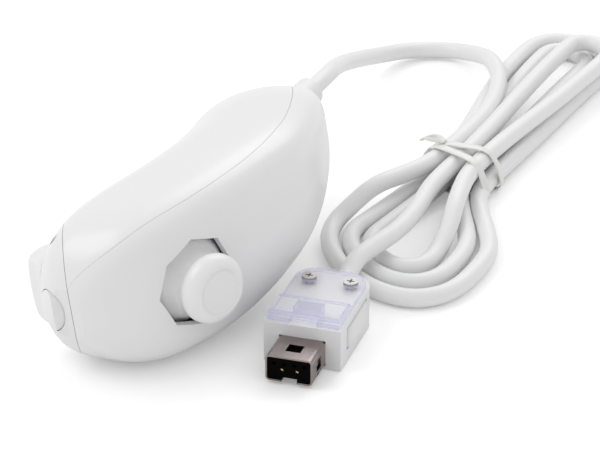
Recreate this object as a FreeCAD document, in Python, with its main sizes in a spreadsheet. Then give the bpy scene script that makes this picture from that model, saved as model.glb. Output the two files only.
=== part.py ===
# One-handed motion game controller lying on its side, with its tied cord and its plug. Sizes in mm.
import FreeCAD, Part
import math
import os
import re
import Sketcher

V = FreeCAD.Vector
doc = FreeCAD.newDocument("controller")
sheet = doc.addObject("Spreadsheet::Sheet", "Sizes")

# Every driving size of the controller, its cord and its plug
SIZES = {
    # body
    "body_length": 107.5, "body_width": 38.8, "body_depth": 40.5, "nose_reach": 21.9, "face_rise": 7.0,
    "shell_wall": 2.0, "seam_gap": 0.1, "rest_pitch": 4.5, "rest_roll": 6.0,
    # front plate, button and trigger
    "plate_lean": 60.0, "plate_drop": 4.785, "button_width": 10.3, "button_height": 7.0, "button_rise": 1.8,
    "button_travel": 1.0, "button_gap": 0.2, "trigger_width": 15.6, "trigger_gap": 0.25, "pin_diameter": 2.0,
    # stick
    "stick_lean": 20.0, "pivot_depth": 9.5, "gate_radius": 10.95, "dome_radius": 12.9, "dome_wall": 1.2,
    "cap_radius": 8.1, "cap_height": 5.1, "neck_radius": 5.7, "shaft_diameter": 3.0, "axle_diameter": 2.1,
    "bore_gap": 0.05, "housing_width": 15.0, "housing_wall": 1.3, "rocker_length": 9.0, "rocker_width": 7.0,
    "arch_radius": 6.0, "arch_width": 5.2,
    # boards and fasteners
    "board_thickness": 1.6, "board_length": 35.5, "board_width": 25.4, "screw_diameter": 2.0,
    "screw_head": 3.6, "screw_head_height": 1.4, "boss_diameter": 5.4,
    # cord
    "cord_diameter": 4.6, "collar_diameter": 7.6, "collar_length": 8.4, "strand_gap": 0.75,
    # plug
    "plug_width": 18.5, "plug_length": 27.9, "plug_height": 10.2, "base_height": 3.0, "cover_thickness": 1.4,
    "cover_gap": 0.05,
    "mouth_width": 11.2, "mouth_height": 6.5, "mouth_reach": 9.9, "mouth_wall": 0.4, "mouth_base": 0.7,
    "lever_height": 5.2, "lever_length": 16.5, "lever_gap": 0.25, "plug_screw_span": 10.14,
}
for row, (alias, value) in enumerate(SIZES.items(), 1):
    sheet.set("A%d" % row, alias)
    sheet.set("B%d" % row, str(value))
    sheet.setAlias("B%d" % row, alias)
doc.recompute()


def size(alias):
    return float(getattr(sheet, alias))


def bind(thing, **texts):
    # sets each property by an expression, where a size's own word stands for its cell
    for name, text in texts.items():
        text = re.sub(r"[a-z_]{3,}", lambda m: "Sizes." * (m.group(0) in SIZES) + m.group(0), str(text))
        thing.setExpression(name.replace("__", "."), text)
    return thing


def put(thing, x, y, z, turn=None):
    thing.Placement = FreeCAD.Placement(V(), turn or FreeCAD.Rotation())
    return bind(thing, Placement__Base__x=x, Placement__Base__y=y, Placement__Base__z=z)


ALONG = {"X": FreeCAD.Rotation(V(0, 1, 0), 90), "Y": FreeCAD.Rotation(V(1, 0, 0), -90), "Z": FreeCAD.Rotation()}


def box(x, y, z, length, width, height):
    return put(bind(doc.addObject("Part::Box", "Block"), Length=length, Width=width, Height=height), x, y, z)


def block(x, y, z, length, width, height):
    # a box centred on x and y that stands on z
    return box("%s - (%s) / 2" % (x, length), "%s - (%s) / 2" % (y, width), z, length, width, height)


def rod(x, y, z, radius, height, along="Z"):
    piece = bind(doc.addObject("Part::Cylinder", "Rod"), Radius=radius, Height=height)
    return put(piece, x, y, z, ALONG[along])


def ball(x, y, z, radius):
    return put(bind(doc.addObject("Part::Sphere", "Ball"), Radius=radius), x, y, z)


def shape(solid, name="Form"):
    form = doc.addObject("Part::Feature", name)
    form.Shape = solid
    return form


def fuse(*pieces):
    joined = doc.addObject("Part::MultiFuse", "Joined")
    joined.Shapes = list(pieces)
    joined.Refine = True
    return joined


def common(first, second):
    kept = doc.addObject("Part::Common", "Kept")
    kept.Base, kept.Tool = first, second
    kept.Refine = False
    return kept


def cut(first, *tools):
    rest = doc.addObject("Part::Cut", "Rest")
    rest.Base = first
    rest.Tool = tools[0] if len(tools) == 1 else fuse(*tools)
    rest.Refine = False
    return rest


def round_edges(piece, radius, chosen):
    # fillets the edges whose middle the given test accepts
    doc.recompute()
    fillet = doc.addObject("Part::Fillet", "Rounded")
    fillet.Base = piece
    edges = []
    for number, edge in enumerate(piece.Shape.Edges, 1):
        middle = edge.valueAt((edge.FirstParameter + edge.LastParameter) / 2)
        if chosen(middle, edge):
            edges.append((number, radius, radius))
    fillet.Edges = edges
    return fillet


def frame_of(origin, x_axis, z_axis):
    x_axis, z_axis = V(x_axis).normalize(), V(z_axis).normalize()
    y_axis = z_axis.cross(x_axis)
    return FreeCAD.Placement(FreeCAD.Matrix(
        x_axis.x, y_axis.x, z_axis.x, origin.x, x_axis.y, y_axis.y, z_axis.y, origin.y,
        x_axis.z, y_axis.z, z_axis.z, origin.z, 0, 0, 0, 1))


PARTS = []


def keep(label, piece, place):
    # a finished piece of the product: its label names its file, its placement seats it
    if any("Placement" in path for path, text in piece.ExpressionEngine):
        single = piece
        piece = doc.addObject("Part::Compound", "Single")
        piece.Links = [single]
    piece.Placement = place
    piece.Label = label
    PARTS.append(piece)
    return piece


# Body form: along the length, stick face, underside, half width and seam, each as a share of its size
STATIONS = [
    (0.0, 0.575, 0.770, 0.325, 0.642), (0.018, 0.452, 0.857, 0.541, 0.556), (0.061, 0.311, 0.931, 0.778, 0.420),
    (0.135, 0.180, 0.968, 0.948, 0.301), (0.238, 0.086, 0.948, 1.01, 0.203), (0.359, 0.020, 0.889, 1.0, 0.143),
    (0.481, 0.0, 0.867, 0.948, 0.133), (0.602, 0.015, 0.894, 0.866, 0.173), (0.723, 0.084, 0.968, 0.753, 0.265),
    (0.835, 0.198, 1.0, 0.613, 0.400), (0.930, 0.336, 0.948, 0.454, 0.540), (1.0, 0.489, 0.844, 0.289, 0.667)]


def station(share):
    x = -size("nose_reach") + share[0] * size("body_length")
    face, under, seam = (-size("face_rise") + share[k] * size("body_depth") for k in (1, 2, 4))
    return x, face, under, share[3] * size("body_width") / 2, seam


def ring(x, face, under, half, inset):
    # a cross-section of the body: squarer towards the stick face, rounder towards the underside
    mid = (face + under) / 2
    points = []
    for k in range(24):
        angle = 2 * math.pi * k / 24
        c, s = math.cos(angle), math.sin(angle)
        power = 4.2 if c > 0 else 2.4
        reach = (mid - face - inset) if c > 0 else (under - mid - inset)
        y = mid - math.copysign(abs(c) ** (2 / power), c) * reach
        points.append(V(x, y, math.copysign(abs(s) ** (2 / power), s) * (half - inset)))
    curve = Part.BSplineCurve()
    curve.interpolate(Points=points, PeriodicFlag=True)
    return Part.Wire(curve.toShape())


def body_form(inset):
    places = [station(share) for share in STATIONS]
    first, last = places[0][0], places[-1][0]
    ratio = (last - first - 2 * inset) / (last - first)
    return Part.makeLoft([ring(first + inset + (x - first) * ratio, face, under, half, inset)
                          for x, face, under, half, seam in places], True, False)


def seam_form(shift):
    # everything on the stick's side of the seam between the two shells
    places = [station(share) for share in STATIONS]
    curve = Part.BSplineCurve()
    curve.interpolate([V(p[0], p[4] + shift, 0) for p in places])
    start, end = V(places[0][0] - 9, places[0][4] + shift, 0), V(places[-1][0] + 9, places[-1][4] + shift, 0)
    far = V(0, -2 * size("body_depth"), 0)
    corners = [end, end + far, start + far, start]
    edges = [Part.makeLine(start, curve.StartPoint), curve.toShape(), Part.makeLine(curve.EndPoint, end)]
    edges += [Part.makeLine(a, b) for a, b in zip(corners, corners[1:])]
    side = Part.Face(Part.Wire(edges)).extrude(V(0, 0, 2 * size("body_width")))
    side.translate(V(0, 0, -size("body_width")))
    return side


def polygon(points, low, high):
    # a plan outline in the body's length and depth, extruded from one height to the other
    loop = [V(x, y, low) for x, y in points]
    return Part.Face(Part.makePolygon(loop + loop[:1])).extrude(V(0, 0, high - low))


outer = shape(body_form(0), "BodyForm")
inner = shape(body_form(size("shell_wall")), "BodyHollow")

# Resting place of the controller: on its side, with the rear end of its plan raised
TILT = FreeCAD.Rotation(0, -size("rest_pitch"), -size("rest_roll"))
LIE = FreeCAD.Placement(V(), TILT)

# Slot shapes and the frames of the stick, the button and the trigger, in the body's own frame
lean = math.radians(size("stick_lean"))
STICK_X = V(math.cos(lean), -math.sin(lean), 0)
STICK_UP = V(-math.sin(lean), -math.cos(lean), 0)
PIVOT = STICK_UP * -size("pivot_depth")
STICK = frame_of(PIVOT, STICK_X, STICK_UP)
nose = station(STATIONS[0])
BUTTON_PLACE = V(nose[0] + 1.0, nose[2] + 0.4, 0)
BUTTON_OUT = V(-0.82, 0.57, 0).normalize()
BUTTON = frame_of(BUTTON_PLACE, V(0.57, 0.82, 0), BUTTON_OUT)
TRIGGER_PLACE = V(nose[0] + 9.1, nose[2] + 2.8, 0)


def from_trigger(points):
    return [(TRIGGER_PLACE.x + x, TRIGGER_PLACE.y + y) for x, y in points]


def between(share):
    # the body's place, stick face, underside, half width and seam at a share of its length
    for a, b in zip(STATIONS, STATIONS[1:]):
        if a[0] <= share <= b[0]:
            k = (share - a[0]) / (b[0] - a[0])
            return station([p + (q - p) * k for p, q in zip(a, b)])


def seat(piece, place):
    piece.Placement = place
    return piece


def beyond_plate(shift):
    # everything on the nose's side of the plane behind the front plate
    slope = math.radians(size("plate_lean"))
    reach = 2 * size("body_depth")
    side = Part.makeBox(2 * reach, 2 * reach, reach, V(-reach, -reach, shift))
    place = V(nose[0] + 0.8, nose[2] - size("plate_drop"), 0)
    up, out = V(math.sin(slope), math.cos(slope), 0), V(-math.cos(slope), math.sin(slope), 0)
    side.Placement = frame_of(place, up, out)
    return side


gap = size("seam_gap")
stick_side = shape(seam_form(-gap / 2), "StickSide")
under_side = shape(seam_form(gap / 2), "UnderSide")
plate_side = shape(beyond_plate(0), "PlateSide")
plate_room = shape(beyond_plate(-gap), "PlateRoom")

# Screw bosses across the body, board posts and the tail's hole
bosses, counterbores, shell_holes, pilots, shell_screws = [], [], [], [], []
for share, side_share in ((0.557, 0.62), (0.80, 0.58)):
    boss_x, face, under, half, seam = between(share)
    for side in (1, -1):
        boss_z = side * side_share * half
        bosses.append(rod(boss_x, face - 9, boss_z, "boss_diameter / 2", under - face + 18, "Y"))
        counterbores.append(rod(boss_x, under - 6, boss_z, "screw_head / 2 + 0.3", 30, "Y"))
        shell_holes.append(rod(boss_x, seam - 1, boss_z, "screw_diameter / 2 + 0.2", under - 4.5 - seam, "Y"))
        pilots.append(rod(boss_x, face + 3, boss_z, "screw_diameter / 2 + bore_gap", seam - face, "Y"))
        shell_screws.append(rod(boss_x, face + 3.5, boss_z, "screw_diameter / 2", under - 6 - face - 3.5, "Y"))
        shell_screws.append(rod(boss_x, under - 6, boss_z, "screw_head / 2", "screw_head_height", "Y"))
POST_PLACES = ((18, 10), (18, -10), (-7.5, 11), (-7.5, -11))
BOARD_TOP = "(0 - 8)"
BOARD_LOW = "(0 - 8 - board_thickness)"
posts = seat(fuse(*[rod(x, y, "0 - 60", 2.2, "60 - 8 - board_thickness") for x, y in POST_PLACES]), STICK)
post_holes = seat(fuse(*[rod(x, y, "0 - 8 - board_thickness - 6.5", "screw_diameter / 2 + bore_gap", 7)
                         for x, y in POST_PLACES]), STICK)
tail = station(STATIONS[-1])
tail_hole = fuse(rod(tail[0] - 6, tail[4], 0, "collar_diameter / 2 - 0.75", 12, "X"),
                 rod(tail[0] - 3.65, tail[4], 0, "collar_diameter / 2 - 0.15", 1.6, "X"))

# Octagonal gate of the stick
gate = bind(doc.addObject("Part::Prism", "Gate"), Circumradius="gate_radius")
gate.Polygon = 8
gate.Height = 30
seat(gate, STICK)

# Front plate with the button's hole, the trigger's slot, the pin's ears and the posts of its board
TRIGGER_PLAN = [(-5.25, 1.7), (-3.4, 3.9), (-2.1, 6.3), (-1.2, 8.8), (1.8, 9.6), (6.8, 8.8), (9.3, 6.5),
                (9.3, 1.5), (6.8, 0.7), (-0.3, -1.7)]
edge = V(TRIGGER_PLAN[-1][0] - TRIGGER_PLAN[0][0], TRIGGER_PLAN[-1][1] - TRIGGER_PLAN[0][1], 0).normalize()
away = V(edge.y, -edge.x, 0) * size("trigger_gap")
slot_start = V(*TRIGGER_PLAN[0], 0) + away - edge * 3
slot_end = V(*TRIGGER_PLAN[-1], 0) + away + edge * 2
slot_far = TRIGGER_PLAN[6][0] + 1.1
slot_plan = from_trigger([(slot_start.x, slot_start.y), (slot_end.x, slot_end.y), (slot_far, slot_end.y),
                          (slot_far, 16), (slot_start.x, 16)])
slot_half = size("trigger_width") / 2 + size("trigger_gap")
slot = shape(polygon(slot_plan, -slot_half, slot_half), "Slot")
swing_room = shape(slot.Shape.makeOffsetShape(0.7, 0.001, join=2), "SwingRoom")
ears = [box(TRIGGER_PLACE.x - 2.2, TRIGGER_PLACE.y - 2.2, z, 4.4, 20, 2.2)
        for z in ("trigger_width / 2 + 0.3", "0 - trigger_width / 2 - 2.5")]
pin_bore = rod(TRIGGER_PLACE.x, TRIGGER_PLACE.y, "0 - trigger_width", "pin_diameter / 2 + 0.02",
               "2 * trigger_width")
BUTTON_POSTS = ((1.5, 8.0), (1.5, -8.0))
button_posts = seat(fuse(*[rod(x, y, "0 - 8.7", 1.4, 20) for x, y in BUTTON_POSTS]), BUTTON)
button_room = seat(fuse(*[rod(x, y, "0 - 8.7", 1.7, 20) for x, y in BUTTON_POSTS]), BUTTON)
button_pilots = seat(fuse(*[rod(x, y, "0 - 8.7", 0.55, 4) for x, y in BUTTON_POSTS]), BUTTON)


def oval(margin, low, height):
    # an upright oval column in the button's frame
    ring_line = bind(doc.addObject("Part::Ellipse", "Oval"), MajorRadius="button_width / 2 + %s" % margin,
                     MinorRadius="button_height / 2 + %s" % margin)
    put(ring_line, 0, 0, low, FreeCAD.Rotation())
    ring_line.Placement.Rotation = FreeCAD.Rotation(V(0, 0, 1), 90)
    column = doc.addObject("Part::Extrusion", "Column")
    column.Base = ring_line
    column.DirMode = "Custom"
    column.Dir = V(0, 0, 1)
    column.Solid = True
    return bind(column, LengthFwd=height)


button_hole = seat(oval("button_gap", "0 - 6", 12), BUTTON)
flange_room = seat(oval("1.1", "0 - 7.2", 4), BUTTON)
# The body's wall with its bosses, posts and ears left standing, split into two shells and the plate
full = cut(outer, cut(inner, *bosses, posts, *ears, button_posts))
keep("upper_shell", cut(common(full, stick_side), plate_room, gate, tail_hole, *pilots), LIE)
keep("front_plate", cut(common(full, fuse(plate_side, button_posts, *ears)), button_hole, slot, pin_bore,
                        button_pilots), LIE)
keep("lower_shell", cut(full, under_side, plate_room, button_room, flange_room, swing_room, *ears, post_holes,
                        tail_hole, *counterbores, *shell_holes), LIE)
keep("shell_screws", fuse(*shell_screws), LIE)

# Button, its switch and its board, in the button's frame
AT_BUTTON = LIE.multiply(BUTTON)
crown = ball(0, 0, "button_rise - 12", 12)
keep("c_button", fuse(common(oval("0", "0 - 5.2", "5.2 + button_rise"), crown), oval("0.8", "0 - 5.6", 0.8)),
     AT_BUTTON)
switch_stem = rod(0, 0, "0 - 7.2", 1.6, "7.2 - 5.7 - button_travel")
keep("c_switch", fuse(block(0, 0, "0 - 8.7", 6, 6, 1.5), switch_stem), AT_BUTTON)
button_board = block("0 - 0.4", 0, "0 - 9.9", 7.2, 19.2, 1.2)
keep("button_board", cut(button_board, *[rod(x, y, "0 - 11", 0.7, 4) for x, y in BUTTON_POSTS]), AT_BUTTON)
keep("button_screws", fuse(*[fuse(rod(x, y, "0 - 9.9", 0.5, 4), rod(x, y, "0 - 10.9", 1.2, 1))
                             for x, y in BUTTON_POSTS]), AT_BUTTON)

# Trigger on its pin
half_trigger = size("trigger_width") / 2
trigger_block = shape(polygon(from_trigger(TRIGGER_PLAN), -half_trigger, half_trigger), "TriggerForm")


def at_trigger_side(middle, line):
    outside = middle.y > TRIGGER_PLACE.y + 2.4 and abs(abs(middle.z) - half_trigger) < 0.01
    return outside and middle.x < TRIGGER_PLACE.x + 9.2


trigger_block = round_edges(trigger_block, 1.2, at_trigger_side)
trigger_bore = rod(TRIGGER_PLACE.x, TRIGGER_PLACE.y, "0 - trigger_width", "pin_diameter / 2 + bore_gap",
                   "2 * trigger_width")
keep("z_trigger", cut(trigger_block, trigger_bore), LIE)
keep("trigger_pin", rod(TRIGGER_PLACE.x, TRIGGER_PLACE.y, "0 - trigger_width / 2 - 2.4", "pin_diameter / 2",
                        "trigger_width + 4.8"), LIE)

# Stick module, in the stick's frame: its origin is the pivot and Z points out of the gate
AT_STICK = LIE.multiply(STICK)
HOUSING_TOP = 2.2
housing = block(0, 0, "0 - 8", "housing_width", "housing_width", 8 + HOUSING_TOP)
hollow = block(0, 0, "0 - 7", "housing_width - 2 * housing_wall", "housing_width - 2 * housing_wall", 20)
axle_bores = [rod("0 - housing_width", 0, 0, "axle_diameter / 2 + bore_gap", "2 * housing_width", "X"),
              rod(0, "0 - housing_width", 0, "axle_diameter / 2 + bore_gap", "2 * housing_width", "Y")]
keep("stick_housing", cut(housing, hollow, *axle_bores), AT_STICK)
axle_reach = "(housing_width / 2 - bore_gap)"
rocker = fuse(block(0, 0, "0 - 1.5", "rocker_length", "rocker_width", 3),
              rod("0 - " + axle_reach, 0, 0, "axle_diameter / 2", "2 * " + axle_reach, "X"))
window = block(0, 0, "0 - 3", "rocker_length - 2.8", "shaft_diameter + 0.4", 6)
cross_bore = rod(0, "0 - rocker_width", 0, "0.6 + bore_gap", "2 * rocker_width", "Y")
keep("stick_rocker_lower", cut(rocker, window, cross_bore), AT_STICK)
arch = cut(rod("0 - arch_width / 2", 0, 0, "arch_radius", "arch_width", "X"),
           rod("0 - arch_width", 0, 0, "arch_radius - 1.4", "2 * arch_width", "X"))
arch = cut(arch, block(0, 0, "0 - 21.2", 40, 40, 20))
slit = block(0, 0, 0, "shaft_diameter + 0.3", "arch_radius + 0.4", 20)
pegs = [rod(0, y, 0, "axle_diameter / 2", "housing_width / 2 - bore_gap - arch_radius + 0.1", "Y")
        for y in ("arch_radius - 0.1", "0 - housing_width / 2 + bore_gap")]
keep("stick_rocker_upper", fuse(cut(arch, slit), *pegs), AT_STICK)
shaft = rod(0, 0, "0 - 2.6", "shaft_diameter / 2", "18.6")
cross_pin = rod(0, "0 - rocker_width / 2 + 0.2", 0, 0.6, "rocker_width - 0.4", "Y")
foot = cut(common(ball(0, 0, 0, 4.2), rod(0, 0, "0 - 8", 3.1, 20)), block(0, 0, "0 - 2.6", 20, 20, 20))
keep("stick_shaft", fuse(shaft, cross_pin, foot), AT_STICK)
NECK_TOP = 14.8


def dome_form():
    # a spherical skirt that runs up into the neck through a hollow curve, with the shaft's bore
    far, near, neck = size("dome_radius"), size("dome_radius") - size("dome_wall"), size("neck_radius")
    bore = size("shaft_diameter") / 2 + size("bore_gap")
    low, lift = math.radians(28), math.radians(57)
    rise = V(far * math.cos(lift), 0, far * math.sin(lift))
    top = V(neck, 0, NECK_TOP)
    bend = V(neck + 0.1, 0, (rise.z + NECK_TOP) / 2 + 0.55)
    skirt = Part.Arc(V(far * math.cos(low), 0, far * math.sin(low)),
                     V(far * math.cos((low + lift) / 2), 0, far * math.sin((low + lift) / 2)), rise)
    under = math.asin(far * math.sin(low) / near)
    roof = math.acos(bore / near)
    inside = Part.Arc(V(bore, 0, near * math.sin(roof)),
                      V(near * math.cos((under + roof) / 2), 0, near * math.sin((under + roof) / 2)),
                      V(near * math.cos(under), 0, near * math.sin(under)))
    edges = [skirt.toShape(), Part.makeLine(rise, bend), Part.makeLine(bend, top),
             Part.makeLine(top, V(bore, 0, NECK_TOP)),
             Part.makeLine(V(bore, 0, NECK_TOP), V(bore, 0, near * math.sin(roof))), inside.toShape(),
             Part.makeLine(V(near * math.cos(under), 0, near * math.sin(under)),
                           V(far * math.cos(low), 0, far * math.sin(low)))]
    return Part.Face(Part.Wire(edges)).revolve(V(), V(0, 0, 1), 360)


keep("stick_dome", shape(dome_form(), "DomeForm"), AT_STICK)

# Cap of the stick, turned from a sketch, with a shallow dish
cap_body = doc.addObject("PartDesign::Body", "CapBody")
profile = cap_body.newObject("Sketcher::SketchObject", "CapProfile")
profile.AttachmentSupport = [(next(f for f in cap_body.Origin.OriginFeatures if f.Role == "XZ_Plane"), "")]
profile.MapMode = "FlatFace"
cap, high, bore = size("cap_radius"), size("cap_height"), size("shaft_diameter") / 2 + 0.025
outline = [("shaft_diameter / 2 + 0.025", NECK_TOP), ("cap_radius - 1.4", NECK_TOP),
           ("cap_radius", NECK_TOP + 1.4),
           ("cap_radius", "14.8 + cap_height - 1"), ("cap_radius - 1", "14.8 + cap_height"),
           ("cap_radius - 2.1", "14.8 + cap_height"), ("0", "14.8 + cap_height - 0.5"), ("0", 16),
           ("shaft_diameter / 2 + 0.025", 16)]
start = [(bore, NECK_TOP), (cap - 1.4, NECK_TOP), (cap, NECK_TOP + 1.4), (cap, NECK_TOP + high - 1),
         (cap - 1, NECK_TOP + high), (cap - 2.1, NECK_TOP + high), (0, NECK_TOP + high - 0.5), (0, 16),
         (bore, 16)]
for number, (a, b) in enumerate(zip(start, start[1:] + start[:1])):
    profile.addGeometry(Part.LineSegment(V(a[0], a[1], 0), V(b[0], b[1], 0)))
for number in range(len(start)):
    profile.addConstraint(Sketcher.Constraint("Coincident", number, 2, (number + 1) % len(start), 1))
for number, (across, up) in enumerate(outline):
    for kind, text, value in (("DistanceX", across, start[number][0]), ("DistanceY", up, start[number][1])):
        if text == "0":
            profile.addConstraint(Sketcher.Constraint("PointOnObject", number, 1, -2))
            continue
        at = profile.addConstraint(Sketcher.Constraint(kind, -1, 1, number, 1, value))
        bind(profile, **{"Constraints[%d]" % at: text})
turning = cap_body.newObject("PartDesign::Revolution", "CapTurning")
turning.Profile = profile
turning.ReferenceAxis = (profile, ["V_Axis"])
turning.Angle = 360
keep("stick_cap", cap_body, AT_STICK)
keep("stick_spring", cut(rod(0, 0, "0 - 7", 2.6, 2.6), rod(0, 0, "0 - 8", 2.0, 6)), AT_STICK)
pot_place = "housing_width / 2 + bore_gap"
keep("potentiometer_x", box(pot_place, "0 - 4.5", "0 - 8", 2.75, 9, 9.2), AT_STICK)
keep("potentiometer_y", box("0 - 4.5", pot_place, "0 - 8", 9, 2.75, 9.2), AT_STICK)

# Main board and what sits on it
board = block(3.75, 0, BOARD_LOW, "board_length", "board_width", "board_thickness")
keep("main_board", cut(board, *[rod(x, y, "0 - 12", "screw_diameter / 2 + 0.1", 8) for x, y in POST_PLACES]),
     AT_STICK)
board_screws = []
for x, y in POST_PLACES:
    board_screws += [rod(x, y, BOARD_TOP, "screw_head / 2", "screw_head_height"),
                     rod(x, y, "0 - 8 - board_thickness - 6", "screw_diameter / 2", "board_thickness + 6.2")]
keep("board_screws", fuse(*board_screws), AT_STICK)
keep("cord_socket", block(19.5, 0, BOARD_TOP, 4, 10, 4.5), AT_STICK)
keep("controller_chip", block(14.2, "0 - 4", BOARD_TOP, 6, 6, 1.2), AT_STICK)
keep("motion_sensor", block(14, 6, BOARD_TOP, 4, 4, 1.2), AT_STICK)
switch_low = (PIVOT - TRIGGER_PLACE).dot(STICK_UP) + 1.42
keep("z_switch", fuse(block("0 - 12.5", 0, -switch_low, 5, 5, "%s - 8 - board_thickness" % switch_low),
                      rod("0 - 12.5", 0, -switch_low - 1.2, 1.2, 1.5)), AT_STICK)

# Grommet at the tail and the cable inside the body, in the body's own frame
collar_x = tail[0] + gap
grommet = fuse(rod(tail[0] - 3.6, tail[4], 0, "collar_diameter / 2 - 0.2", 1.5, "X"),
               rod(tail[0] - 3.6, tail[4], 0, "collar_diameter / 2 - 0.8", 6, "X"),
               rod(collar_x, tail[4], 0, "collar_diameter / 2", "collar_length", "X"))
keep("tail_grommet", cut(grommet, rod(tail[0] - 8, tail[4], 0, "cord_diameter / 2 + bore_gap",
                                      "collar_length + 20", "X")), LIE)
keep("cable_tie", cut(rod(tail[0] - 6.2, tail[4], 0, "cord_diameter / 2 + 1.2", 2.4, "X"),
                      rod(tail[0] - 8, tail[4], 0, "cord_diameter / 2 + bore_gap", 9, "X")), LIE)


def bent_tube(name, points, radius):
    # straight runs joined by arcs as large as their two runs allow, swept by a circle
    points = [V(p) for p in points]
    edges, last, radii = [], points[0], []
    for before, corner, after in zip(points, points[1:], points[2:]):
        to_back, to_front = before - corner, after - corner
        turn = math.pi - to_back.getAngle(to_front)
        reach = 0.45 * min(to_back.Length, to_front.Length)
        radii.append(reach / math.tan(turn / 2))
        start = corner + to_back.normalize() * reach
        end = corner + to_front.normalize() * reach
        inward = (start + end) * 0.5 - corner
        middle = corner + inward.normalize() * (radii[-1] / math.cos(turn / 2) - radii[-1])
        edges.append(Part.LineSegment(last, start).toShape())
        edges.append(Part.Arc(start, middle, end).toShape())
        last = end
    edges.append(Part.LineSegment(last, points[-1]).toShape())
    return swept(name, Part.Wire(edges), points[0], points[1] - points[0], radius, radii)


def swept(name, path, start, ahead, radius, radii):
    section = Part.Wire(Part.Circle(start, ahead, radius).toShape())
    solid = path.makePipeShell([section], True, False)
    share = solid.Volume / (math.pi * radius ** 2 * path.Length)
    print("%s: length %.1f, least radius %.1f, volume share %.4f" % (name, path.Length, min(radii), share))
    return shape(solid, "Tube")


cord = size("cord_diameter") / 2
socket_end = PIVOT + STICK_X * 21.5 + STICK_UP * -5.6
inner_route = [socket_end, socket_end + STICK_X * 4.5, V(36, 6.4, 0), V(46, 9.2, 0), V(58, 13.6, 0),
               V(69, 18.2, 0),
               V(tail[0] - 8.6, tail[4], 0), V(collar_x + size("collar_length"), tail[4], 0)]
keep("inner_cable", bent_tube("inner_cable", inner_route, cord), LIE)

# The controller is set on the floor and centred before its cord is laid beside it
doc.recompute()
whole = Part.makeCompound([piece.Shape for piece in PARTS])
span = whole.optimalBoundingBox(True, False)
stand = V(-(span.XMin + span.XMax) / 2, -(span.YMin + span.YMax) / 2, -span.ZMin)
for piece in PARTS:
    piece.Placement.Base = piece.Placement.Base + stand
LIE = FreeCAD.Placement(stand, TILT)

# The hank: its tie is the origin, its strands run along X. Each loop: side, reach, first and second strand,
# strand at the tie after it, heights of the loop and of that strand, and where along each strand it climbs
STACKED = 2 * cord + size("strand_gap")
FLOOR_STRAND, TIED_STRAND = cord + 0.05, cord + 0.7
TOP_STRAND, TIED_TOP = FLOOR_STRAND + STACKED, TIED_STRAND + STACKED
LOOPS = [
    (-1, 59, 17.2, -24.2, -8.8, FLOOR_STRAND, TIED_STRAND, (0.62, 0.97), (0.2, 0.8)),
    (1, 96, -5.0, 20.4, 8.8, FLOOR_STRAND, TIED_STRAND, (0.1, 0.6), (0.4, 0.9)),
    (-1, 53.4, 11.4, -18.2, -2.9, FLOOR_STRAND, TIED_STRAND, (0.1, 0.5), (0.3, 0.8)),
    (1, 90, 1.2, 14.6, 2.9, FLOOR_STRAND, TIED_STRAND, (0.1, 0.5), (0.3, 0.8)),
    (-1, 47.8, 5.8, -12.0, -5.6, FLOOR_STRAND, TIED_TOP, (0.1, 0.5), (0.0, 0.42)),
    (1, 93, -7.0, 5.6, 0.2, TOP_STRAND, TIED_TOP, (0.2, 0.6), (0.2, 0.6)),
]
HANK_IN = V(8, 6, TIED_TOP)
HANK_OUT = V(-8, LOOPS[-1][4], TIED_TOP)
TIE_PLACE = V(109.45 + stand.x, -16.03 + stand.y, 0)
HANK = FreeCAD.Placement(TIE_PLACE, FreeCAD.Rotation())


def eased(share):
    share = max(0, min(1, share))
    return share * share * (3 - 2 * share)


def hank_at(loop, entry, height, part, share):
    # a point of the hank: on a loop's first strand, its half circle or its second strand
    side, reach, first, second, leave, loop_z, leave_z, climb, fall = loop
    bend = abs(first - second) / 2
    straight = reach - bend
    if part == 0:
        z = height + (loop_z - height) * eased((share - climb[0]) / (climb[1] - climb[0]))
        return V(side * straight * share, entry + (first - entry) * eased(share), z)
    if part == 1:
        middle = (first + second) / 2
        return V(side * (straight + bend * math.sin(math.pi * share)),
                 middle + (first - middle) * math.cos(math.pi * share), loop_z)
    z = loop_z + (leave_z - loop_z) * eased((share - fall[0]) / (fall[1] - fall[0]))
    return V(side * straight * (1 - share), second + (leave - second) * eased(share), z)


def biarc(a, way_a, b, way_b):
    # two arcs that leave a and reach b along the given directions
    chord, both = b - a, way_a + way_b
    spread = 2 * (1 - way_a.dot(way_b))
    along = 2 * chord.dot(both)
    square = chord.dot(chord)
    if spread < 1e-9:
        reach = square / along
    else:
        reach = (-along + math.sqrt(along ** 2 + 4 * spread * square)) / (2 * spread)
    corner_a, corner_b = a + way_a * reach, b - way_b * reach
    joint = (corner_a + corner_b) * 0.5
    pieces = []
    for start, corner, end in ((a, corner_a, joint), (joint, corner_b, b)):
        mid = (start + end) * 0.5
        rise = (corner - mid).Length
        half = (end - start).Length / 2
        if rise < 1e-4:
            pieces.append((Part.LineSegment(start, end).toShape(), 1e6))
            continue
        angle = math.atan2(rise, half)
        top = mid + (corner - mid).normalize() * (half * math.tan(angle / 2))
        pieces.append((Part.Arc(start, top, end).toShape(), half / math.sin(angle)))
    return pieces


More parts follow.
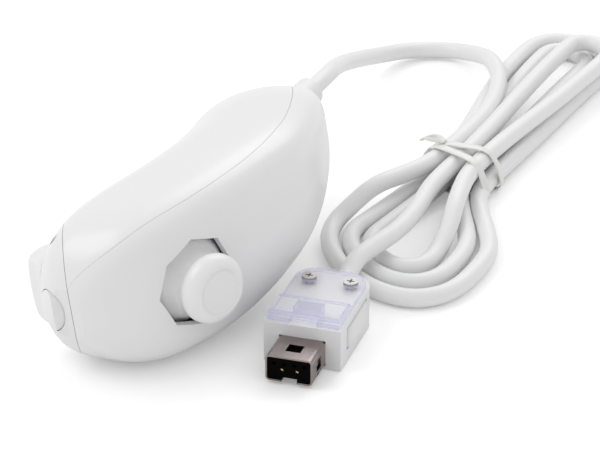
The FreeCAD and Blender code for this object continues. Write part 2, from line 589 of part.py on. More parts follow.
def hank_tube():
    places, ways = [HANK_IN], [V(-1, 0, 0)]
    near = 1e-4
    entry, height = HANK_IN.y, HANK_IN.z
    for loop in LOOPS:
        for part, steps in ((0, 5), (1, 4), (2, 5)):
            for step in range(steps):
                share = step / steps
                low, high = max(share - near, 0), min(share + near, 1)
                way = hank_at(loop, entry, height, part, high) - hank_at(loop, entry, height, part, low)
                places.append(hank_at(loop, entry, height, part, share))
                ways.append(way.normalize())
        entry, height = loop[4], loop[6]
    places += [V(0, entry, height), HANK_OUT]
    ways += [V(-1, 0, 0), V(-1, 0, 0)]
    edges, radii = [], []
    for a, way_a, b, way_b in zip(places, ways, places[1:], ways[1:]):
        for edge, radius in biarc(a, way_a, b, way_b):
            edges.append(edge)
            radii.append(radius)
    path = Part.Wire(edges)
    points = path.discretize(Distance=2.0)
    least = 1e6
    skip = int(16 / 2.0)
    for i in range(0, len(points), 2):
        for j in range(i + skip, len(points)):
            gap_here = points[i].distanceToPoint(points[j]) - 2 * cord
            least = min(least, gap_here)
    print("cord_hank: least gap to itself %.2f" % least)
    return swept("cord_hank", path, HANK_IN, V(-1, 0, 0), cord, radii)


keep("cord_hank", hank_tube(), HANK)

# The lead from the tail to the hank, as points from the tie
leaving = HANK.inverse().multVec(LIE.multVec(V(collar_x + size("collar_length"), tail[4], 0)))
outward = TILT.multVec(V(1, 0, 0))
LEAD = [leaving, leaving + outward * 9, V(5, 39.5, 24.2), V(21, 45.5, 18), V(41.4, 50.4, 10.5),
        V(57.4, 52.2, 5), V(67.9, 50, 2.8), V(73.4, 43.6, 2.4), V(74.9, 35.9, 2.8), V(71.5, 29.5, 4.6), V(64.5, 22, 7.6),
        V(55.5, 15, 7.8), V(44, 10.4, 7.8), V(31, 7.2, 8.2), V(18, 6, HANK_IN.z), HANK_IN]
keep("cord_lead", bent_tube("cord_lead", LEAD, cord), HANK)

# The plug's place: its front's middle on the floor, its rear end towards the hank
PLUG = FreeCAD.Placement(V(9.46 + stand.x, -23.24 + stand.y, 0), FreeCAD.Rotation(V(0, 0, 1), -79.67))
PLUG_CORD_Z = size("mouth_base") + size("mouth_height") / 2 + 1.15
entering = HANK.inverse().multVec(PLUG.multVec(V(0, size("plug_length") + 2.5, PLUG_CORD_Z)))
behind = PLUG.Rotation.multVec(V(0, 1, 0))
RUN = [HANK_OUT, HANK_OUT - V(10, 0, 0), V(-31, -2.2, 8.1), V(-43, -3.0, 8.1), V(-52.5, -1.6, 8.1),
       V(-60.5, -0.5, 7.8), entering + behind * 3.96, entering]
keep("cord_run", bent_tube("cord_run", RUN, cord), HANK)

# Tie round the strands: two bands and a pair of twisted ends
TIE_BAND, TIE_THICK = 2.6, 0.5


def band_outline(margin):
    wide, narrow = 8.8 + cord + 0.3 + margin, 6 + cord + 0.3 + margin
    low, high = TIED_STRAND - cord - 0.15 - margin, TIED_TOP + cord + 0.15 + margin
    knee = TIED_STRAND + cord + 0.3
    return [(-wide, low), (wide, low), (wide, knee), (narrow, high), (-narrow, high), (-wide, knee)]


def band(place):
    rings = []
    for margin in (TIE_THICK, 0):
        loop = [V(place, y, z) for y, z in band_outline(margin)]
        rings.append(Part.Face(Part.makePolygon(loop + loop[:1])).extrude(V(TIE_BAND, 0, 0)))
    return rings[0].cut(rings[1])


top_z = TIED_TOP + cord + 0.15
bridge = Part.makeBox(8.2, 3.2, TIE_THICK, V(-4.1, -1.6, top_z))
ends = [Part.makeBox(0.6, 6, 0.6, V(x, 4.0, top_z + 0.1)) for x in (-3.6, -2.4)]
tie_form = band(-4.1).fuse([band(1.5), bridge] + ends)
keep("twist_tie", shape(tie_form, "TieForm"), HANK)

# Plug, in its own frame: X across, Y towards its cord, Z up, its front's lower middle the origin


def at_rear(low):
    return lambda middle, line: middle.y > low and abs(line.tangentAt(line.FirstParameter).z) > 0.9


def mirrored(make):
    return [make(1), make(-1)]


def sided(side, inner, y, z, thick, length, height):
    # a box that lies from the given distance outwards on one side of the plug
    x = inner if side > 0 else "0 - (%s) - (%s)" % (inner, thick)
    return box(x, y, z, thick, length, height)


mouth_room = box("0 - mouth_width / 2", "0 - 12", "mouth_base", "mouth_width", 16, "mouth_height")
grommet_room = rod(0, "plug_length - 2.6", PLUG_CORD_Z, 3.25, 6, "Y")
cable_room = rod(0, 17, PLUG_CORD_Z, "cord_diameter / 2 + bore_gap", 20, "Y")
screw_y = "plug_length - 6.6"
SCREW_SIDES = ("plug_screw_span / 2", "0 - plug_screw_span / 2")
screw_holes = [rod(x, screw_y, 1, "screw_diameter / 2 + 0.02", 12) for x in SCREW_SIDES]
PEG_SIDES = ("plug_width / 2 - 1.3", "0 - plug_width / 2 + 1.3")
peg_holes = [rod(x, 8, "base_height - 1.1", 0.65, "lever_height + 2.6") for x in PEG_SIDES]
base = round_edges(block(0, "plug_length / 2", 0, "plug_width", "plug_length", "base_height"), 6, at_rear(20))
keep("plug_base", cut(base, mouth_room, grommet_room, cable_room, *screw_holes, *peg_holes), PLUG)
top = round_edges(block(0, "plug_length / 2", "base_height", "plug_width", "plug_length",
                        "plug_height - base_height"), 6, at_rear(20))
cavity = block(0, 11, "base_height - 1", "10.6", 14, "plug_height - base_height - 0.6")
pockets = mirrored(lambda side: sided(side, "plug_width / 2 - 2.95", "5 - lever_gap", "base_height - 1", 5,
                                      "lever_length + 2 * lever_gap - 1", "lever_height + 1 + 2 * lever_gap"))
keep("plug_housing", cut(top, mouth_room, cavity, grommet_room, cable_room, *pockets, *screw_holes, *peg_holes),
     PLUG)


def lever(side):
    arm = sided(side, "plug_width / 2 - 2.1", 5, "base_height + lever_gap / 2", 2.45, "lever_length - 1",
                "lever_height")
    arm = round_edges(arm, 0.9, lambda middle, line: abs(middle.x) > 9.2 and abs(line.tangentAt(0).z) > 0.9)
    peg = rod(PEG_SIDES[side < 0], 8, "base_height - 0.9", 0.6, "lever_height + 2.2")
    return fuse(arm, peg)


keep("plug_lever_right", lever(1), PLUG)
keep("plug_lever_left", lever(-1), PLUG)

# Clear cover with its raised strap bar and the bar's window
cover = round_edges(block(0, "plug_length / 2 - 0.4", "plug_height + cover_gap", "plug_width - 1.2",
                          "plug_length - 2", "cover_thickness - cover_gap"), 5.4, at_rear(20))
bar = round_edges(block(0, 5.4, "plug_height + cover_gap", "plug_width - 1.2", 8.8,
                        "cover_thickness + 1.4 - cover_gap"), 1.2,
                  lambda middle, line: middle.z > size("plug_height") + size("cover_thickness") + 1.2)
bar_window = block(0, 5.2, "plug_height - 1", 6.5, 3.7, 6)
bar_tunnel = block(0, 2.5, "plug_height - 1", 6.5, 4, 2.1)
head_rooms = [rod(x, screw_y, "plug_height + cover_thickness - 0.6", 1.85, 3) for x in SCREW_SIDES]
shaft_rooms = [rod(x, screw_y, "plug_height - 1", "screw_diameter / 2 + 0.1", 4) for x in SCREW_SIDES]
keep("plug_cover", cut(fuse(cover, bar), bar_window, bar_tunnel, *head_rooms, *shaft_rooms), PLUG)
plug_screws = []
for x in SCREW_SIDES:
    head = rod(x, screw_y, "plug_height + cover_thickness - 0.6", 1.75, 1.0)
    cross = fuse(block(x, screw_y, "plug_height + cover_thickness", 1.8, 0.4, 2),
                 block(x, screw_y, "plug_height + cover_thickness", 0.4, 1.8, 2))
    shank = rod(x, screw_y, 1.2, "screw_diameter / 2", "plug_height + cover_thickness - 1.7")
    plug_screws.append(fuse(cut(head, cross), shank))
keep("plug_screws", fuse(*plug_screws), PLUG)

# Metal mouth with its windows, the block inside it, its latches and contacts, and the board behind
sleeve = round_edges(box("0 - mouth_width / 2", "0 - mouth_reach", "mouth_base", "mouth_width",
                         "mouth_reach + 4", "mouth_height"), 1.0, lambda middle, line: abs(line.tangentAt(0).y) > 0.9)
sleeve_bore = box("0 - mouth_width / 2 + mouth_wall", "0 - 12", "mouth_base + mouth_wall",
                  "mouth_width - 2 * mouth_wall", 20, "mouth_height - 2 * mouth_wall")
bore = round_edges(sleeve_bore, 0.6, lambda middle, line: abs(line.tangentAt(0).y) > 0.9)
top_window = block(0, "0 - 5.3", "mouth_base + 3", 3.6, 3.3, 6)
side_window = block(0, "0 - 5.0", "mouth_base + 1.9", 20, 3.2, 2.8)
side_slot = block(0, "0 - 5.6", "mouth_base + 0.8", 20, 1.4, 0.5)
notch = box("0 - 1.85", "0 - 12", 0, 3.7, 6, 1.8)
keep("plug_shell", cut(sleeve, bore, top_window, side_window, side_slot, notch), PLUG)
core = round_edges(box("0 - mouth_width / 2 + mouth_wall", "0 - mouth_reach + 0.3", "mouth_base + mouth_wall",
                       "mouth_width - 2 * mouth_wall", "mouth_reach + 3.7", "mouth_height - 2 * mouth_wall"),
                   0.6,
                   lambda middle, line: abs(line.tangentAt(0).y) > 0.9)
CONTACTS = [(-1.8, 2.8, -9.2), (1.8, 2.8, -9.2), (-3.6, 4.4, -7.5), (-1.2, 4.4, -7.5), (1.2, 4.4, -7.5),
            (3.6, 4.4, -7.5)]
contact_rooms = [rod(x, "0 - 12", "mouth_base + %s" % z, 0.45, 20, "Y") for x, z, y in CONTACTS]
top_recess = block(0, "0 - 5.3", "mouth_base + mouth_height - mouth_wall - 0.5", 3.4, 3.1, 2)
side_recess = mirrored(lambda side: sided(side, "mouth_width / 2 - mouth_wall - 0.5", "0 - 6.4",
                                          "mouth_base + 2.1", 2, 2.8, 2.4))
keep("plug_insulator", cut(core, notch, *contact_rooms, top_recess, *side_recess), PLUG)
keep("plug_contacts", fuse(*[rod(x, y, "mouth_base + %s" % z, 0.42, 4.6 - y, "Y") for x, z, y in CONTACTS]),
     PLUG)
keep("plug_latches", fuse(*mirrored(lambda side: sided(side, "mouth_width / 2 - mouth_wall - 0.5", "0 - 5.8",
                                                        "mouth_base + 2.6", 0.45, 1.9, 1.4))), PLUG)
keep("plug_board", block(0, 11.2, "base_height", 10, 12.6, 1.0), PLUG)
plug_bore = rod(0, 10, PLUG_CORD_Z, "cord_diameter / 2 + bore_gap", 30, "Y")
keep("plug_grommet", cut(rod(0, "plug_length - 2.5", PLUG_CORD_Z, 3.2, 5, "Y"), plug_bore), PLUG)
keep("plug_cable", rod(0, 17.6, PLUG_CORD_Z, "cord_diameter / 2", "plug_length + 2.5 - 17.6", "Y"), PLUG)

# Every object is sound before any file is written
doc.recompute()
for thing in doc.Objects:
    if "Invalid" in thing.State or "Error" in thing.State:
        raise RuntimeError("%s failed" % thing.Label)
os.makedirs("parts", exist_ok=True)
for piece in PARTS:
    if piece.Shape.isNull() or not piece.Shape.isValid():
        raise RuntimeError("%s has no sound shape" % piece.Label)
for piece in PARTS:
    piece.Shape.exportStep("parts/%s.step" % piece.Label)
    print("%-20s %d solids %9.1f mm3" % (piece.Label, len(piece.Shape.Solids), piece.Shape.Volume))
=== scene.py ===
# One-handed motion game controller in glossy white plastic, on its side with its tied cord and its plug.
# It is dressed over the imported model. Lengths are in metres where nothing else is said.
import math

import bmesh
import bpy
from mathutils import Matrix, Vector


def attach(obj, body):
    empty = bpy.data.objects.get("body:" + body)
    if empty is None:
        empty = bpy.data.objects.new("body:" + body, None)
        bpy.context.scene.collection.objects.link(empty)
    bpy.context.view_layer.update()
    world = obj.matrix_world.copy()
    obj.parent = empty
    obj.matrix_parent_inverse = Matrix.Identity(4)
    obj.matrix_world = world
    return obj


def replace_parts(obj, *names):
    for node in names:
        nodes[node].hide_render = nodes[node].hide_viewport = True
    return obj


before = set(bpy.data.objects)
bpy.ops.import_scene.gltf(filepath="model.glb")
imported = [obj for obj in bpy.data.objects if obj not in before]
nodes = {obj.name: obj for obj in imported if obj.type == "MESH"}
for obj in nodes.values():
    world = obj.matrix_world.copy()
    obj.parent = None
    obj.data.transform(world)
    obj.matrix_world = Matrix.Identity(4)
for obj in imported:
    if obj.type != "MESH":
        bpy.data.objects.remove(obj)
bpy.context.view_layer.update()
MM = 0.001

# Camera: a long lens that looks down on the controller from beyond its stick,
# at the angle and the frame of the photograph.
lens = bpy.data.cameras.new("camera")
lens.lens = 180
lens.sensor_width = 36
lens.clip_end = 10
camera = bpy.data.objects.new("camera", lens)
bpy.context.scene.collection.objects.link(camera)
camera.location = (-0.5552, -0.3191, 0.3390)
LOOK_DOWN = math.radians(26.8)
looking = Vector((math.cos(LOOK_DOWN) * 0.881, math.cos(LOOK_DOWN) * 0.4726, -math.sin(LOOK_DOWN)))
camera.rotation_euler = looking.to_track_quat("-Z", "Y").to_euler()
bpy.context.scene.camera = camera
bpy.context.scene.view_settings.view_transform = "Standard"

# Floor: one pale sheet of paper, a little brighter to the camera's own rays, so that
# it reads as white and still keeps the soft shadow under the pieces.
floor_paper = bpy.data.materials.new("floor_paper")
floor_paper.use_nodes = True
tree = floor_paper.node_tree
tree.nodes.clear()
paper = tree.nodes.new("ShaderNodeBsdfDiffuse")
paper.inputs["Color"].default_value = (0.93, 0.93, 0.93, 1)
glow = tree.nodes.new("ShaderNodeEmission")
glow.inputs["Color"].default_value = (1, 1, 1, 1)
rays = tree.nodes.new("ShaderNodeLightPath")
seen = tree.nodes.new("ShaderNodeMath")
seen.operation = "MULTIPLY"
seen.inputs[1].default_value = 0.22
tree.links.new(rays.outputs["Is Camera Ray"], seen.inputs[0])
tree.links.new(seen.outputs[0], glow.inputs["Strength"])
both = tree.nodes.new("ShaderNodeAddShader")
tree.links.new(paper.outputs[0], both.inputs[0])
tree.links.new(glow.outputs[0], both.inputs[1])
end = tree.nodes.new("ShaderNodeOutputMaterial")
tree.links.new(both.outputs[0], end.inputs["Surface"])
sheet = bpy.data.meshes.new("floor")
sheet.from_pydata([(-4, -4, 0), (4, -4, 0), (4, 4, 0), (-4, 4, 0)], [], [(0, 1, 2, 3)])
sheet.materials.append(floor_paper)
floor = bpy.data.objects.new("floor", sheet)
bpy.context.scene.collection.objects.link(floor)
floor.location.z = -0.0002

# Light: an even white room, and two wide soft lamps, one high on the left and one behind.
room = bpy.data.worlds.new("room")
bpy.context.scene.world = room
room.use_nodes = True
room.node_tree.nodes["Background"].inputs["Color"].default_value = (1, 1, 1, 1)
room.node_tree.nodes["Background"].inputs["Strength"].default_value = 0.72


def soft_lamp(name, place, aim, width, power):
    lamp = bpy.data.lights.new(name, "AREA")
    lamp.shape = "SQUARE"
    lamp.size = width
    lamp.energy = power
    holder = bpy.data.objects.new(name, lamp)
    bpy.context.scene.collection.objects.link(holder)
    holder.location = place
    holder.rotation_euler = (Vector(aim) - Vector(place)).to_track_quat("-Z", "Y").to_euler()
    return holder


soft_lamp("lamp_left", (-0.35, 0.65, 0.95), (0.0, 0.0, 0.0), 0.7, 3.2)
soft_lamp("lamp_behind", (0.9, 0.1, 0.8), (0.05, 0.0, 0.0), 0.8, 2.6)


# Finishes: a moulded surface has a fine grain in its gloss, and painted shade for a slight waviness from the
# tool:
# soft patches a little darker in colour. Each finish is one shader with its own grain, scale, depth and
# painted shade.
def finish(name, colour, roughness, metallic=0.0, grain=1800.0, depth=0.02, shade=0.02, stretch=(1, 1, 1),
           **extra):
    material = bpy.data.materials.new(name)
    material.use_nodes = True
    nodes_of = material.node_tree.nodes
    link = material.node_tree.links.new
    shader = nodes_of["Principled BSDF"]
    shader.inputs["Metallic"].default_value = metallic
    for socket, value in extra.items():
        shader.inputs[socket.replace("_", " ")].default_value = value
    place = nodes_of.new("ShaderNodeTexCoord")
    turn = nodes_of.new("ShaderNodeMapping")
    turn.inputs["Scale"].default_value = stretch
    link(place.outputs["Object"], turn.inputs["Vector"])
    fine = nodes_of.new("ShaderNodeTexNoise")
    fine.inputs["Scale"].default_value = grain
    fine.inputs["Detail"].default_value = 4
    link(turn.outputs["Vector"], fine.inputs["Vector"])
    broad = nodes_of.new("ShaderNodeTexNoise")
    broad.inputs["Scale"].default_value = 45
    link(turn.outputs["Vector"], broad.inputs["Vector"])
    # painted shade: the broad noise makes the colour darker by the share shade in soft patches, standing in
    # for the waviness
    tint = nodes_of.new("ShaderNodeValToRGB")
    tint.color_ramp.elements[0].position = 0.3
    tint.color_ramp.elements[1].position = 0.7
    tint.color_ramp.elements[0].color = [c * (1 - shade) for c in colour] + [1]
    tint.color_ramp.elements[1].color = list(colour) + [1]
    link(broad.outputs["Fac"], tint.inputs["Fac"])
    link(tint.outputs["Color"], shader.inputs["Base Color"])
    gloss = nodes_of.new("ShaderNodeMapRange")
    gloss.inputs["To Min"].default_value = roughness * 0.85
    gloss.inputs["To Max"].default_value = roughness * 1.15
    link(fine.outputs["Fac"], gloss.inputs["Value"])
    link(gloss.outputs["Result"], shader.inputs["Roughness"])
    bump = nodes_of.new("ShaderNodeBump")
    bump.inputs["Strength"].default_value = depth
    bump.inputs["Distance"].default_value = 0.0004
    link(fine.outputs["Fac"], bump.inputs["Height"])
    link(bump.outputs["Normal"], shader.inputs["Normal"])
    return material


def dress(material, *names):
    for name in names:
        part = nodes[name]
        part.data.materials.clear()
        part.data.materials.append(material)


# Cord: one round lead of soft white vinyl, 4.6 mm thick and about 1.24 m long. It leaves the collar, drops
# to the table, turns back to a hank of three loops each way, and leaves the hank for the plug. Points and
# loops are in millimetres, from the tie. A loop has its side, reach, the places of its two strands and where
# it leaves, its two heights, and the shares of its strands along which it climbs and falls.
CORD_DIAMETER = 4.6
TIE_PLACE = Vector((74.172, -28.448, 0))
LEAD_POINTS = [(-15.48, 35.93, 26.26), (-6.5, 35.93, 26.97), (5.0, 39.5, 24.2), (21.0, 45.5, 18.0),
               (41.4, 50.4, 10.5), (57.4, 52.2, 5.0), (67.9, 50.0, 2.8), (73.4, 43.6, 2.4), (74.9, 35.9, 2.8),
               (71.5, 29.5, 4.6), (64.5, 22.0, 7.6), (55.5, 15.0, 7.8), (44.0, 10.4, 7.8), (31.0, 7.2, 8.2),
               (18.0, 6.2, 8.35), (8.0, 6.2, 8.35)]
LOOPS = [(-1, 59, 17.2, -24.2, -6.4, 2.35, 3.0, (0.62, 0.97), (0.2, 0.8)),
         (1, 95, -5.0, 20.4, 8.6, 2.35, 3.0, (0.1, 0.6), (0.4, 0.9)),
         (-1, 53.4, 11.4, -18.2, -1.4, 2.35, 3.0, (0.1, 0.5), (0.3, 0.8)),
         (1, 89, 1.2, 14.6, 3.6, 2.35, 3.0, (0.1, 0.5), (0.3, 0.8)),
         (-1, 47.8, 5.8, -12.0, -4.2, 2.35, 8.35, (0.1, 0.5), (0.0, 0.42)),
         (1, 86, -6.4, 6.2, 1.0, 7.7, 8.35, (0.2, 0.6), (0.2, 0.6))]
LEAN = {-1: (16, -5), 1: (8, 3)}
WIDEST_BEND = 20.7
END_REACH = 1.04
END_SPREAD = 1.03
STRAND_STEPS = 5
END_STEPS = 6
RUN_POINTS = [(-8.0, 1.0, 8.35), (-18.0, 0.4, 8.35), (-31.0, -2.2, 8.1), (-43.0, -3.0, 8.1),
              (-52.5, -1.6, 8.1), (-60.5, -0.5, 7.8), (-66.19, -1.05, 5.1), (-70.08, -1.76, 5.1)]


def eased(share):
    share = max(0, min(1, share))
    return share * share * (3 - 2 * share)


def loop_points(loop, entry, height):
    # one loop of the hank: out along its first strand, round its end and back along its second
    side, reach, first, second, leave, loop_z, leave_z, climb, fall = loop
    bend = abs(first - second) / 2
    straight = reach - bend
    middle = (first + second) / 2
    found = []
    for step in range(STRAND_STEPS):
        share = step / STRAND_STEPS
        z = height + (loop_z - height) * eased((share - climb[0]) / (climb[1] - climb[0]))
        found.append((side * straight * share, entry + (first - entry) * eased(share), z))
    further, sideways = (amount * bend / WIDEST_BEND for amount in LEAN[side])
    for step in range(END_STEPS):
        angle = math.pi * step / END_STEPS
        lean = math.sin(angle)
        outwards = straight + END_REACH * bend * lean + further * lean * (step / END_STEPS) ** 2
        along = middle + END_SPREAD * (first - middle) * math.cos(angle) + sideways * lean
        found.append((side * outwards, along, loop_z))
    for step in range(STRAND_STEPS):
        share = step / STRAND_STEPS
        z = loop_z + (leave_z - loop_z) * eased((share - fall[0]) / (fall[1] - fall[0]))
        found.append((side * straight * (1 - share), second + (leave - second) * eased(share), z))
    return found


cord_route = list(LEAD_POINTS)
entry, height = LEAD_POINTS[-1][1:]
for loop in LOOPS:
    cord_route += loop_points(loop, entry, height)
    entry, height = loop[4], loop[6]
cord_route.append((0, entry, height))
cord_route += RUN_POINTS
cord_line = bpy.data.curves.new("cord", "CURVE")
cord_line.dimensions = "3D"
spline = cord_line.splines.new("NURBS")
spline.points.add(len(cord_route) - 1)
for point, place in zip(spline.points, cord_route):
    point.co = [c * MM for c in TIE_PLACE + Vector(place)] + [1]
spline.order_u = 3
spline.use_endpoint_u = True
spline.resolution_u = 8
cord_line.bevel_depth = CORD_DIAMETER / 2 * MM
cord_line.bevel_resolution = 8
cord_line.use_fill_caps = True
cord = bpy.data.objects.new("cord", cord_line)
bpy.context.scene.collection.objects.link(cord)
white_vinyl = finish("white_vinyl", (0.87, 0.87, 0.872), 0.38, grain=900, depth=0.03, shade=0.015,
                     Coat_Weight=0.15, Coat_Roughness=0.3)
cord_line.materials.append(white_vinyl)
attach(cord, "controller")
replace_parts(cord, "cord_lead", "cord_hank", "cord_run")
dress(white_vinyl, "tail_grommet", "plug_grommet", "plug_cable", "inner_cable")

# Body: two moulded shells and a front plate in glossy white, joined along one curved seam.
body_white = finish("body_white", (0.87, 0.87, 0.875), 0.3, grain=1500, depth=0.012, shade=0.01,
                    Coat_Weight=0.25, Coat_Roughness=0.22)
dress(body_white, "upper_shell", "lower_shell", "front_plate", "z_trigger", "c_button", "stick_cap",
      "stick_dome")


def new_piece(name, mesh, material, body):
    # faces turned outwards, smooth shading, one finish, and a body to ride on
    shaped = bmesh.new()
    shaped.from_mesh(mesh)
    bmesh.ops.remove_doubles(shaped, verts=shaped.verts, dist=1e-6)
    bmesh.ops.recalc_face_normals(shaped, faces=shaped.faces)
    shaped.to_mesh(mesh)
    shaped.free()
    mesh.polygons.foreach_set("use_smooth", [True] * len(mesh.polygons))
    mesh.materials.append(material)
    piece = bpy.data.objects.new(name, mesh)
    bpy.context.scene.collection.objects.link(piece)
    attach(piece, body)
    return piece


# Stick: a ball-shaped white skirt that turns in the octagonal gate, and a bevelled thumb cap
# with a shallow round dish, pressed on the stick's moulded shaft. The body lies rolled and pitched
# on the table, and the stick stands square to a line turned a little in the body.
BODY_ROLL = -6.0
BODY_PITCH = -4.5
BODY_TURN = (Matrix.Rotation(math.radians(BODY_PITCH), 3, "Y")
             @ Matrix.Rotation(math.radians(BODY_ROLL), 3, "X"))
STICK_TURN = math.radians(20)
STICK_PIVOT = Vector((-31.9657, -3.5394, 20.2884))
STICK_OUT = BODY_TURN @ Vector((-math.sin(STICK_TURN), -math.cos(STICK_TURN), 0))
STICK_ACROSS = BODY_TURN @ Vector((math.cos(STICK_TURN), -math.sin(STICK_TURN), 0))


def turned(name, profile, material, steps=72):
    # a closed profile of radius and height, turned about the stick's axis
    side = STICK_OUT.cross(STICK_ACROSS)
    corners, faces = [], []
    count = len(profile)
    for step in range(steps):
        angle = 2 * math.pi * step / steps
        out = STICK_ACROSS * math.cos(angle) + side * math.sin(angle)
        for radius, high in profile:
            corners.append((STICK_PIVOT + out * radius + STICK_OUT * high) * MM)
    for step in range(steps):
        after = (step + 1) % steps
        for k in range(count):
            nxt = (k + 1) % count
            if profile[k][0] < 1e-6 and profile[nxt][0] < 1e-6:
                continue
            faces.append((step * count + k, step * count + nxt, after * count + nxt, after * count + k))
    mesh = bpy.data.meshes.new(name)
    mesh.from_pydata([tuple(c) for c in corners], [], faces)
    return new_piece(name, mesh, material, "stick")


def rounded(profile, times=2):
    # cuts the corners of an open profile so that it runs smoothly
    for turn in range(times):
        cut_line = [profile[0]]
        for (a, b), (c, d) in zip(profile, profile[1:]):
            for near in (0.75, 0.25):
                cut_line.append((a * near + c * (1 - near), b * near + d * (1 - near)))
        profile = cut_line + [profile[-1]]
    return profile


def ball_line(radius, angles):
    return [(radius * math.cos(math.radians(a)), radius * math.sin(math.radians(a))) for a in angles]


SKIRT_RADIUS = 12.9
HOLLOW_RADIUS = 11.7
CAP_LINE = [(0.0, 19.45), (4.2, 19.45), (5.0, 19.5), (5.35, 19.8), (5.8, 19.95), (6.5, 19.7), (7.7, 18.5),
            (8.2, 17.2), (8.2, 15.7), (7.7, 14.8), (6.2, 14.75)]
cap = turned("cap_form", rounded(CAP_LINE) + [(0.0, 14.75)], body_white)
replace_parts(cap, "stick_cap")
skirt_line = ball_line(SKIRT_RADIUS, range(28, 53, 4)) + [(7.15, 11.5), (6.75, 12.8), (6.6, 14.7)]
hollow_line = ball_line(HOLLOW_RADIUS, range(82, 30, -6))
skirt = turned("skirt_form", rounded(skirt_line, 1) + [(1.65, 14.7)] + hollow_line, body_white)
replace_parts(skirt, "stick_dome")

# Trigger: a hollow-backed white lever on a steel pin, crowned across its width where a
# finger pulls it, and rounded at both its ends.
BODY_PLACE = Vector((-35.2781, -12.4176, 20.9637))
TRIGGER_PIN = Vector((-12.8, 26.985, 0))
TRIGGER_OUTER = [(-5.25, 1.7), (-4.3, 3.0), (-3.2, 4.6), (-2.2, 6.6), (-1.0, 8.4), (1.4, 9.4), (4.4, 9.3),
                 (7.2, 8.4), (9.0, 6.4), (9.3, 3.8), (9.25, 1.6)]
TRIGGER_INNER = [(6.8, 0.7), (3.2, -0.5), (-0.3, -1.7), (-2.8, 0.0)]
TRIGGER_SECTIONS = [(-7.8, 0.80), (-7.6, 0.87), (-6.9, 0.93), (-5.2, 0.97), (-2.6, 1.0), (0, 1.01),
                    (2.6, 1.0), (5.2, 0.97), (6.9, 0.93), (7.6, 0.87), (7.8, 0.80)]
TRIGGER_MIDDLE = Vector((1.6, 2.4))
FINGER_SIDE = 1.0


def in_body(point):
    return (BODY_TURN @ Vector(point) + BODY_PLACE) * MM


def lofted(name, rings, material, body):
    # rings with the same number of corners, joined one to the next and closed at both ends
    size = len(rings[0])
    faces = []
    for low in range(0, (len(rings) - 1) * size, size):
        for k in range(size):
            after = (k + 1) % size
            faces.append((low + k, low + after, low + size + after, low + size + k))
    faces.append(tuple(range(size)))
    faces.append(tuple(range((len(rings) - 1) * size, len(rings) * size)))
    mesh = bpy.data.meshes.new(name)
    mesh.from_pydata([tuple(corner) for ring in rings for corner in ring], [], faces)
    return new_piece(name, mesh, material, body)


rings = []
for w, share in TRIGGER_SECTIONS:
    ring = []
    for x, y in TRIGGER_OUTER + TRIGGER_INNER:
        drawn_in = share if y > FINGER_SIDE else 0.5 + share / 2
        drawn = TRIGGER_MIDDLE + (Vector((x, y)) - TRIGGER_MIDDLE) * drawn_in
        ring.append(in_body((TRIGGER_PIN.x + drawn.x, TRIGGER_PIN.y + drawn.y, w)))
    rings.append(ring)
trigger = lofted("trigger_form", rings, body_white, "trigger")
softer = trigger.modifiers.new("softer", "SUBSURF")
softer.levels = 2
softer.render_levels = 2
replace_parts(trigger, "z_trigger")

# Inside pieces: the stick's moulded housing and rockers, green boards with black chips and switches, and
# the steel screws that hold the shells, the boards and the plug's cover.
inner_white = finish("inner_white", (0.78, 0.78, 0.79), 0.5, shade=0.03)
dress(inner_white, "stick_housing", "stick_rocker_lower", "stick_rocker_upper", "stick_shaft", "cord_socket")
black_mould = finish("black_mould", (0.006, 0.006, 0.007), 0.5, grain=2500, depth=0.05,
                     Specular_IOR_Level=0.25)
dress(black_mould, "controller_chip", "motion_sensor", "c_switch", "z_switch", "potentiometer_x",
      "potentiometer_y", "cable_tie")
block_black = finish("block_black", (0.002, 0.002, 0.002), 0.7, grain=2500, Specular_IOR_Level=0.03)
dress(block_black, "plug_insulator")
board_green = finish("board_green", (0.03, 0.22, 0.09), 0.35, grain=600)
dress(board_green, "button_board", "main_board", "plug_board")
screw_steel = finish("screw_steel", (0.5, 0.49, 0.48), 0.24, metallic=1.0, grain=700, depth=0.12)
dress(screw_steel, "shell_screws", "button_screws", "board_screws", "plug_screws")

# Plug: a white body under a clear screwed cover, with a drawn steel mouth round a black block.
mouth_steel = finish("mouth_steel", (0.36, 0.31, 0.295), 0.24, metallic=1.0, grain=300, depth=0.05, shade=0.1,
                     stretch=(1, 6, 6))
dress(mouth_steel, "plug_shell", "plug_latches", "trigger_pin", "stick_spring")
contact_gold = finish("contact_gold", (0.8, 0.62, 0.32), 0.25, metallic=1.0)
dress(contact_gold, "plug_contacts")
plug_white = finish("plug_white", (0.84, 0.84, 0.85), 0.36, grain=1500, depth=0.015)
dress(plug_white, "plug_base", "plug_housing", "plug_lever_right", "plug_lever_left")
# The clear plastic has a faint lavender tint of its own; its upright faces get a darker, deeper lavender and
# less clear copy, painted shade for the plastic seen edge-on.
clear_cover = finish("clear_cover", (0.93, 0.925, 0.99), 0.07, depth=0.01, Alpha=0.16, Coat_Weight=0.6,
                     Coat_Roughness=0.04)
cover_edge_painted_shade = finish("cover_edge_painted_shade", (0.62, 0.6, 0.92), 0.1, depth=0.01, Alpha=0.4, Coat_Weight=0.7,
                    Coat_Roughness=0.04)
dress(clear_cover, "plug_cover")
nodes["plug_cover"].data.materials.append(cover_edge_painted_shade)
# Faces that stand upright carry the painted edge shade; level faces keep the plain clear finish.
cover_turn = nodes["plug_cover"].matrix_world.to_3x3()
LEVEL_SHARE = 0.6
for face in nodes["plug_cover"].data.polygons:
    face.material_index = int((cover_turn @ face.normal).z ** 2 < LEVEL_SHARE)

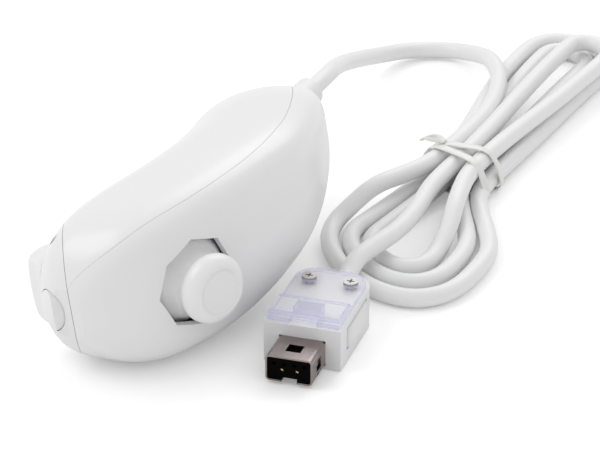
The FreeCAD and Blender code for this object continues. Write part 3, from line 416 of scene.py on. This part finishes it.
# Latch levers: a crowned white bar on each side of the plug, on a peg near its front, with a
# narrow gap round it in the side of the housing. A level has its height and how far it draws in.
PLUG_TURN = Matrix.Rotation(math.radians(-79.67), 3, "Z")
PLUG_PLACE = Vector((-25.818, -35.658, 0))
LEVER_PLAN = [(9.0, 5.5), (9.5, 5.75), (9.85, 6.4), (10.0, 8.0), (10.05, 13.0), (9.95, 17.5), (9.7, 19.6),
              (9.3, 20.3), (8.6, 20.4), (7.3, 20.3), (7.3, 5.5)]
LEVER_LEVELS = [(3.2, 0.25), (3.4, 0.08), (4.0, 0.0), (7.0, 0.0), (7.8, 0.12), (8.2, 0.4)]
LEVER_FACE = 8.8
LEVER_FRONT = 8
for name, side in (("right", 1), ("left", -1)):
    rings = []
    for z, drawn in LEVER_LEVELS:
        ring = []
        for x, y in LEVER_PLAN:
            pulled = x - (drawn if x > LEVER_FACE else 0)
            pushed = y + (drawn if y < LEVER_FRONT else 0)
            ring.append((PLUG_TURN @ Vector((side * pulled, pushed, z)) + PLUG_PLACE) * MM)
        rings.append(ring)
    lever = lofted("lever_form_" + name, rings, plug_white, "latch_" + name)
    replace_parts(lever, "plug_lever_" + name)

# Tie: a thin strip of soft white film, wound twice round the bundle, crossed on top and
# twisted, with its two ends pressed down over the strands.
tie_film = finish("tie_film", (0.84, 0.84, 0.82), 0.35, grain=260, depth=0.5, shade=0.05, Coat_Weight=0.3)


def strip(name, line, widths, across, thick, closed):
    # a flat strip along a closed or open line, each station with its width and its direction across
    corners, faces = [], []
    count = len(line)
    for k, (place, width) in enumerate(zip(line, widths)):
        if closed:
            ahead = (line[(k + 1) % count] - line[k - 1]).normalized()
        else:
            ahead = (line[min(k + 1, count - 1)] - line[max(k - 1, 0)]).normalized()
        wide = (across[k] - ahead * across[k].dot(ahead)).normalized()
        up = ahead.cross(wide)
        for a, b in ((-0.5, -0.5), (-0.25, -0.65), (0.25, -0.65), (0.5, -0.5), (0.5, 0.5), (0.25, 0.65),
                     (-0.25, 0.65), (-0.5, 0.5)):
            corners.append((TIE_PLACE + place + wide * a * width + up * b * thick) * MM)
    for k in range(count if closed else count - 1):
        nxt = (k + 1) % count
        for j in range(8):
            faces.append((k * 8 + j, k * 8 + (j + 1) % 8, nxt * 8 + (j + 1) % 8, nxt * 8 + j))
    if not closed:
        faces.append(tuple(range(8)))
        faces.append(tuple(range(count * 8 - 8, count * 8)))
    mesh = bpy.data.meshes.new(name)
    mesh.from_pydata([tuple(c) for c in corners], [], faces)
    piece = new_piece(name, mesh, tie_film, "controller")
    softer = piece.modifiers.new("softer", "SUBSURF")
    softer.levels = 1
    softer.render_levels = 1
    return piece


BAND = [(11.0, 0.25), (11.9, 3.0), (11.2, 6.0), (9.0, 10.9), (4.6, 11.5), (1.0, 11.3), (-2.8, 11.5),
        (-6.6, 10.9), (-8.8, 6.2), (-9.8, 3.0), (-9.2, 0.25), (-5.0, 0.2), (0, 0.2), (6.0, 0.2)]
BAND_THICK = 0.45
END_THICK = 0.5
TIE_END_STEPS = 8
for number, (slant, place) in enumerate(((0.3, -2.4), (-0.16, 2.6))):
    line, widths, across = [], [], []
    for k, (y, z) in enumerate(BAND):
        line.append(Vector((place + slant * y, y, z)))
        widths.append(2.6 + 0.7 * math.sin(2.3 * k + number))
        across.append(Vector((1, -slant, 0.15 * math.sin(1.7 * k))))
    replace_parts(strip("tie_band_%d" % (number + 1), line, widths, across, BAND_THICK, True), "twist_tie")
for number, (reach, drop, bow) in enumerate(((7.5, 1.4, 1.6), (6.2, 0.4, -1.4))):
    line, widths, across = [], [], []
    for k in range(TIE_END_STEPS + 1):
        share = k / TIE_END_STEPS
        line.append(Vector((1.5 + bow * math.sin(math.pi * share), 5.5 + reach * share,
                            11.9 + 0.5 * math.sin(math.pi * share) - drop * share * share)))
        widths.append(1.5 - 0.7 * share)
        across.append(Vector((math.cos(2.6 * share), 0.0, math.sin(2.6 * share))))
    strip("tie_end_%d" % (number + 1), line, widths, across, END_THICK, False)
